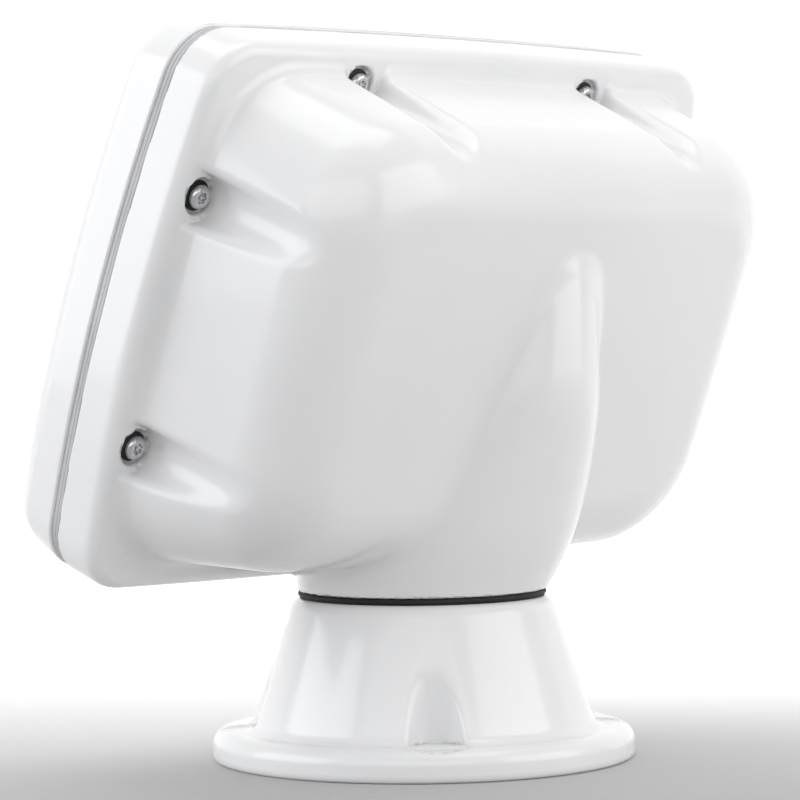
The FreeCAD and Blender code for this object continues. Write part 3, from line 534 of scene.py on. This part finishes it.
def finishes():
    return {
        "white_moulding": gloss_moulding(),
        "black_rubber": soft_rubber("black_rubber_moulded", (0.010, 0.010, 0.011),
                                    (0.022, 0.022, 0.024)),
        "grey_silicone": soft_rubber("grey_silicone_seal", (0.50, 0.51, 0.53), (0.58, 0.59, 0.61),
                                     700.0, (0.42, 0.55)),
        "brass": machined_metal("brass_insert", (0.55, 0.38, 0.16), (0.75, 0.56, 0.27)),
        "stainless": machined_metal("polished_stainless", (0.50, 0.50, 0.52), (0.72, 0.72, 0.73),
                                    (0.14, 0.26)),
        "acetal": textured_plastic("acetal_bearing", (0.66, 0.65, 0.60), (0.76, 0.75, 0.70), 600.0,
                                   (0.3, 0.42), 0.1),
        "alloy": machined_metal("clear_anodised_alloy", (0.50, 0.51, 0.53), (0.66, 0.67, 0.69),
                                (0.3, 0.45)),
        "black_alloy": machined_metal("black_anodised_alloy", (0.018, 0.018, 0.02), (0.045, 0.045, 0.05),
                                      (0.4, 0.55), (1.0, 1.0, 6.0), 0.7),
        "black_plastic": textured_plastic("black_case_plastic", (0.016, 0.016, 0.018),
                                          (0.028, 0.028, 0.031)),
        "key_plastic": textured_plastic("key_cap_plastic", (0.060, 0.062, 0.068), (0.088, 0.090, 0.098),
                                        2200.0, (0.42, 0.55), 0.15),
        "screen_glass": screen_glass(),
        "screen_panel": lcd_stack(),
        "circuit_board": circuit_board(),
    }


FINISH = finishes()
RECORD_SLOT = {s["node"]: s["material_slot"] for s in frame["record"]["subparts"]}


def dress(obj, slot):
    obj.data.materials.clear()
    obj.data.materials.append(FINISH[slot])


def stand_in(obj, body, slot, *nodes):
    dress(obj, slot)
    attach(obj, body)
    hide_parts(*nodes)


# ---- carried CAD nodes ----------------------------------------------------------------------
REPLACED = {"rear_housing", "front_housing", "pedestal_base", "security_screws", "housing_gasket",
            "swivel_seal", "screw_washers"}
for node, ob in frame["nodes"].items():
    if node in REPLACED:
        continue
    for k in range(max(1, len(ob.material_slots))):
        if not ob.material_slots:
            ob.data.materials.append(FINISH[RECORD_SLOT[node]])
        else:
            ob.material_slots[k].material = FINISH[RECORD_SLOT[node]]

# ---- white mouldings ------------------------------------------------------------------------
HALF_W, HALF_H = POD_W / 2 + 3, POD_H / 2 + 3
fine = 2.0
across = grid_axis(-HALF_W, HALF_W, fine)
rear_axes = (across, grid_axis(-HALF_H - 12, HALF_H, fine), grid_axis(-3.0, 114.0, fine, 0.0))
rear = field_piece("rear_moulding", rear_field, rear_axes, fine, pod_grid)
stand_in(rear, "pod", "white_moulding", "rear_housing")
front_axes = (across, grid_axis(-HALF_H, HALF_H, fine), grid_axis(-FRONT_N - 3, 0.0, fine, -GASKET_T))
front = field_piece("front_moulding", front_field, front_axes, fine, pod_grid)
stand_in(front, "pod", "white_moulding", "front_housing")
turns = 288
around = np.arange(turns + 2) * 2 * math.pi / turns
foot_step, rim_step = 1.8, 0.4
foot_axes = (around, grid_axis(16.0, 88.0, foot_step, RING_R - 1.0, rim_step, 3.0),
             grid_axis(-3.0, 69.0, foot_step, BASE_TOP, rim_step, 2.0))
foot = field_piece("pedestal_moulding", base_field, foot_axes, foot_step, round_grid, True)
stand_in(foot, "pedestal", "white_moulding", "pedestal_base")


# ---- gasket band and seal -------------------------------------------------------------------
def outline_points(w, h, r, per_side=40, per_corner=14):
    """Points round the bowed rectangle, with the outward normal at each."""
    rs, rt, kx, ky = arc_sides(w, h, r, SIDE_BOW, TOP_BOW)
    runs = [(w / 2 - rs, 0.0, rs, -SIDE_BOW, SIDE_BOW, per_side),
            (kx, ky, r, SIDE_BOW, math.pi / 2 - TOP_BOW, per_corner),
            (0.0, h / 2 - rt, rt, math.pi / 2 - TOP_BOW, math.pi / 2 + TOP_BOW, per_side),
            (-kx, ky, r, math.pi / 2 + TOP_BOW, math.pi - SIDE_BOW, per_corner),
            (rs - w / 2, 0.0, rs, math.pi - SIDE_BOW, math.pi + SIDE_BOW, per_side),
            (-kx, -ky, r, math.pi + SIDE_BOW, 1.5 * math.pi - TOP_BOW, per_corner),
            (0.0, rt - h / 2, rt, 1.5 * math.pi - TOP_BOW, 1.5 * math.pi + TOP_BOW, per_side),
            (kx, -ky, r, 1.5 * math.pi + TOP_BOW, 2 * math.pi - SIDE_BOW, per_corner)]
    out = []
    for cx, cy, rad, a0, a1, n in runs:
        for k in range(n):
            a = a0 + (a1 - a0) * k / n
            out.append((cx + rad * math.cos(a), cy + rad * math.sin(a), math.cos(a), math.sin(a)))
    return out


def loft(name, rings):
    """Smooth mesh from rings of points, the last ring joined to the first."""
    n = len(rings[0])
    verts = [tuple(c * MM for c in p) for r in rings for p in r]
    faces = []
    for i in range(len(rings)):
        j = (i + 1) % len(rings)
        for k in range(n):
            m = (k + 1) % n
            faces.append((i * n + k, i * n + m, j * n + m, j * n + k))
    me = bpy.data.meshes.new(name)
    me.from_pydata(verts, [], faces)
    bm = bmesh.new()
    bm.from_mesh(me)
    bmesh.ops.recalc_face_normals(bm, faces=bm.faces)
    for e in bm.edges:
        if len(e.link_faces) == 2 and e.calc_face_angle(0) > math.radians(40):
            e.smooth = False
    bm.to_mesh(me)
    bm.free()
    me.polygons.foreach_set("use_smooth", [True] * len(me.polygons))
    ob = bpy.data.objects.new(name, me)
    bpy.context.scene.collection.objects.link(ob)
    return ob


def gasket_band():
    """Recessed seal with two shallow ribs and a thin lip against the rear housing."""
    pts = outline_points(POD_W, POD_H, CORNER_R)
    # inset from the outline, distance in front of the parting plane
    profile = [(4.9, 0.1), (2.3, 0.1), (2.1, 0.5), (2.1, 0.8), (1.3, 1.0), (1.15, 1.3), (1.15, 2.1),
               (1.45, 2.35), (1.15, 2.6), (1.15, 4.0), (1.3, 4.3), (1.6, 4.4), (4.9, 4.4)]
    rings = []
    for inset, n in profile:
        x = np.array([p[0] - inset * p[2] for p in pts])
        v = np.array([p[1] - inset * p[3] for p in pts])
        rings.append(from_pod(x, v, np.full(len(pts), -n)).tolist())
    return loft("gasket_band", rings)


stand_in(gasket_band(), "pod", "grey_silicone", "housing_gasket")


def lathe(name, profile, steps):
    """Turned piece from (radius, height) points round a closed section."""
    rings = []
    for r, z in profile:
        a = np.linspace(0, 2 * math.pi, steps, endpoint=False)
        p = np.stack([r * np.cos(a), r * np.sin(a), np.full(steps, z)], 1)
        rings.append(p.tolist())
    return loft(name, rings)


def seal_profile():
    """Square root in the pedestal groove, rounded lip between the two mouldings."""
    pts = [(RING_R - 5.4, BASE_TOP - 1.4), (RING_R - 1.1, BASE_TOP - 1.4), (RING_R - 1.1, BASE_TOP + 0.1)]
    mid, half = BASE_TOP + SEAL_T / 2, SEAL_T / 2 - 0.06
    for k in range(9):
        a = -math.pi / 2 + math.pi * k / 8
        pts.append((RING_R - 0.75 + 0.75 * math.cos(a), mid + half * math.sin(a)))
    return pts + [(RING_R - 5.4, BASE_TOP + SEAL_T - 0.06)]


stand_in(lathe("seal_lip", seal_profile(), 160), "pedestal", "black_rubber", "swivel_seal")


# ---- tamper-resistant screws ----------------------------------------------------------------
def screw_mesh(bm, x, v, turn):
    """Button head with a six-lobed socket and centre pin, plus its shank, about one axis."""
    steps = 72
    seat = SEAT_W + WASHER_T
    top = seat + HEAD_T

    def lobes(a):
        return 2.05 + 0.30 * math.cos(6 * (a + turn))
    sections = [("round", 0.0, -GASKET_T - 10.4), ("round", SHANK_R - 0.4, -GASKET_T - 10.4),
                ("round", SHANK_R - 0.02, -GASKET_T - 9.8), ("round", SHANK_R - 0.02, seat),
                ("round", HEAD_R - 0.3, seat), ("round", HEAD_R, seat + 0.25)]
    for k in range(9):
        a = math.pi / 2 * k / 8
        sections.append(("round", 3.1 + 1.65 * math.cos(a), seat + 0.7 + (HEAD_T - 0.7) * math.sin(a)))
    sections += [("lobe", 0.25, top - 0.02), ("lobe", 0.0, top - 0.2), ("lobe", 0.0, top - 1.7),
                 ("round", 0.85, top - 1.75), ("round", 0.8, top - 0.6), ("round", 0.6, top - 0.42),
                 ("round", 0.0, top - 0.38)]
    rings = []
    for kind, r, w in sections:
        ring = []
        if kind == "round" and r == 0.0:
            ring = [bm.verts.new(Vector(from_pod(x, v, w)) * MM)]
        else:
            for k in range(steps):
                a = 2 * math.pi * k / steps
                rad = r if kind == "round" else lobes(a) + r
                spot = from_pod(x + rad * math.cos(a), v + rad * math.sin(a), w)
                ring.append(bm.verts.new(Vector(spot) * MM))
        rings.append(ring)
    for a, b in zip(rings[:-1], rings[1:]):
        for k in range(steps):
            m = (k + 1) % steps
            quad = [a[k % len(a)], a[m % len(a)], b[m % len(b)], b[k % len(b)]]
            bm.faces.new(list(dict.fromkeys(quad)))


def screws():
    bm = bmesh.new()
    for k, (x, v) in enumerate(SCREWS):
        screw_mesh(bm, x, v, 0.37 * k)
    bmesh.ops.recalc_face_normals(bm, faces=bm.faces)
    for e in bm.edges:
        e.smooth = len(e.link_faces) != 2 or e.calc_face_angle(0) < math.radians(38)
    me = bpy.data.meshes.new("screw_heads")
    bm.to_mesh(me)
    bm.free()
    me.polygons.foreach_set("use_smooth", [True] * len(me.polygons))
    ob = bpy.data.objects.new("screw_heads", me)
    bpy.context.scene.collection.objects.link(ob)
    return ob


stand_in(screws(), "pod", "stainless", "security_screws")


def washers():
    """Bonded sealing washers: a rubber ring with a raised edge under each head."""
    bm = bmesh.new()
    steps = 64
    section = [(2.95, 0.02), (2.95, 1.4), (5.1, 1.46), (5.65, 1.3), (5.95, 0.95), (5.95, 0.3), (5.8, 0.02)]
    for x, v in SCREWS:
        rings = []
        for r, up in section:
            ring = []
            for a in np.linspace(0, 2 * math.pi, steps, endpoint=False):
                spot = from_pod(x + r * math.cos(a), v + r * math.sin(a), SEAT_W + up)
                ring.append(bm.verts.new(Vector(spot) * MM))
            rings.append(ring)
        for i in range(len(rings)):
            a, b = rings[i], rings[(i + 1) % len(rings)]
            for k in range(steps):
                m = (k + 1) % steps
                bm.faces.new((a[k], a[m], b[m], b[k]))
    bmesh.ops.recalc_face_normals(bm, faces=bm.faces)
    me = bpy.data.meshes.new("sealing_washers")
    bm.to_mesh(me)
    bm.free()
    me.polygons.foreach_set("use_smooth", [True] * len(me.polygons))
    ob = bpy.data.objects.new("sealing_washers", me)
    bpy.context.scene.collection.objects.link(ob)
    return ob


stand_in(washers(), "pod", "black_rubber", "screw_washers")


# ---- floor, light and camera ----------------------------------------------------------------
def floor():
    """Pale table that turns up into a backdrop, with painted shade that darkens its colour towards the
    camera and a painted glow that brightens it away from the camera.
    """
    rows = [(-6.0, 0.0), (1.6, 0.0)]
    rows += [(1.6 + 1.4 * math.sin(a), 1.4 - 1.4 * math.cos(a)) for a in np.linspace(0.05, math.pi / 2, 24)]
    rows += [(3.0, 5.0)]
    b = Vector((math.sin(CAM_AZ), -math.cos(CAM_AZ), 0))
    r = Vector((math.cos(CAM_AZ), math.sin(CAM_AZ), 0))
    verts = [tuple(r * side - b * far + Vector((0, 0, up))) for far, up in rows for side in (-6.0, 6.0)]
    me = bpy.data.meshes.new("floor")
    me.from_pydata(verts, [], [(2 * k, 2 * k + 1, 2 * k + 3, 2 * k + 2) for k in range(len(rows) - 1)])
    me.polygons.foreach_set("use_smooth", [True] * len(me.polygons))
    ob = bpy.data.objects.new("floor", me)
    bpy.context.scene.collection.objects.link(ob)
    m = Nodes("pale_floor")
    c = m.coords()
    near = m.add("ShaderNodeVectorMath")
    near.operation = "DOT_PRODUCT"
    near.inputs[1].default_value = b
    m.link(c, "Object", near, "Vector")
    # painted shade: the floor's colour darkens towards the camera; painted glow: the floor gives off light
    # away from the camera, though it is no lamp
    tone = m.ramp(near, "Value", *FLOOR_PAINTED_SHADE)
    glow = m.ramp(near, "Value", *FLOOR_PAINTED_GLOW)
    tone.interpolation_type = glow.interpolation_type = "SMOOTHSTEP"
    speck = m.ramp(m.noise(c, 3.0), "Fac", 0.3, 0.7, 0.985, 1.0)
    shade = m.add("ShaderNodeMath")
    shade.operation = "MULTIPLY"
    m.link(tone, "Result", shade, 0)
    m.link(speck, "Result", shade, 1)
    m.link(shade, "Value", m.bsdf, "Base Color")
    m.link(glow, "Result", m.bsdf, "Emission Strength")
    m.set(Roughness=0.9, Specular_IOR_Level=0.1, Emission_Color=(1, 1, 1, 1))
    ob.data.materials.append(m.mat)


def softbox(name, place, aim, size, power, tone=(1, 1, 1)):
    """Rectangular soft light at a place, turned to the aim; power in watts."""
    light = bpy.data.lights.new(name, "AREA")
    light.shape = "RECTANGLE"
    light.size, light.size_y = size
    light.energy = power
    light.color = tone
    ob = bpy.data.objects.new(name, light)
    ob.location = place
    ob.rotation_euler = (Vector(aim) - Vector(place)).to_track_quat("-Z", "Y").to_euler()
    bpy.context.scene.collection.objects.link(ob)


CAM_AZ, CAM_EL, CAM_DIST = math.radians(131.0), math.radians(1.02), 1.417
LOOK_AZ, LOOK_EL, ROLL = math.radians(131.32), math.radians(1.68), math.radians(-0.75)
AIM_Z = 0.160
LENS = 158.6


def side_of_camera(right, up, back):
    """A place measured from the object: to camera right, up, and towards the camera, in metres."""
    b = Vector((math.sin(CAM_AZ), -math.cos(CAM_AZ), 0))
    r = Vector((math.cos(CAM_AZ), math.sin(CAM_AZ), 0))
    return r * right + b * back + Vector((0, 0, AIM_Z + up))


def camera():
    """Camera on one bearing, looking along another, so that the object sits off the frame's middle."""
    cam = bpy.data.cameras.new("camera")
    cam.lens, cam.sensor_width = LENS, 36.0
    ob = bpy.data.objects.new("camera", cam)
    bpy.context.scene.collection.objects.link(ob)
    ce = math.cos(CAM_EL)
    place = Vector((math.sin(CAM_AZ) * ce, -math.cos(CAM_AZ) * ce, math.sin(CAM_EL))) * CAM_DIST
    place.z += AIM_Z
    ahead = -Vector((math.sin(LOOK_AZ) * math.cos(LOOK_EL), -math.cos(LOOK_AZ) * math.cos(LOOK_EL),
                     math.sin(LOOK_EL)))
    right = Vector((math.cos(LOOK_AZ), math.sin(LOOK_AZ), 0))
    up = right.cross(ahead)
    r2 = right * math.cos(ROLL) + up * math.sin(ROLL)
    u2 = up * math.cos(ROLL) - right * math.sin(ROLL)
    ob.matrix_world = Matrix((r2, u2, -ahead)).transposed().to_4x4()
    ob.location = place
    bpy.context.scene.camera = ob


def world_light():
    """Bright studio behind the object, dimmer towards the camera's side of the room."""
    world = bpy.data.worlds.new("studio")
    bpy.context.scene.world = world
    world.use_nodes = True
    tree = world.node_tree
    back = tree.nodes["Background"]
    coord = tree.nodes.new("ShaderNodeTexCoord")
    dot = tree.nodes.new("ShaderNodeVectorMath")
    dot.operation = "DOT_PRODUCT"
    dot.inputs[1].default_value = (math.sin(CAM_AZ), -math.cos(CAM_AZ), 0.0)
    shade = tree.nodes.new("ShaderNodeMapRange")
    shade.interpolation_type = "SMOOTHSTEP"
    for key, value in zip(("From Min", "From Max", "To Min", "To Max"), ROOM):
        shade.inputs[key].default_value = value
    tree.links.new(coord.outputs["Generated"], dot.inputs[0])
    tree.links.new(dot.outputs["Value"], shade.inputs["Value"])
    tree.links.new(shade.outputs["Result"], back.inputs["Strength"])
    back.inputs["Color"].default_value = (1.0, 1.0, 1.0, 1)


FLOOR_PAINTED_SHADE = (-0.30, 0.25, 0.82, 0.42)  # painted shade on the floor: towards the camera from, to, in metres; tone from, to
FLOOR_PAINTED_GLOW = (-0.9, 0.10, 0.62, 0.0)    # the same for the painted glow
ROOM = (-0.6, 0.6, 0.62, 0.38)          # direction from, to; brightness from, to
floor()
world_light()
softbox("key_left", side_of_camera(-1.6, 0.46, 0.3), (0, 0, AIM_Z), (1.6, 1.2), 13.5,
        (0.975, 0.985, 1.0))
softbox("key_right", side_of_camera(1.5, 0.46, 0.6), (0, 0, AIM_Z), (1.6, 1.2), 11.0)
softbox("overhead", side_of_camera(0.0, 1.6, 0.1), (0, 0, AIM_Z), (1.6, 1.0), 9.0)
softbox("fill", side_of_camera(-0.2, 0.5, 1.7), (0, 0, AIM_Z), (2.4, 1.0), 9.0)
camera()
scene = bpy.context.scene
scene.view_settings.view_transform = "Standard"
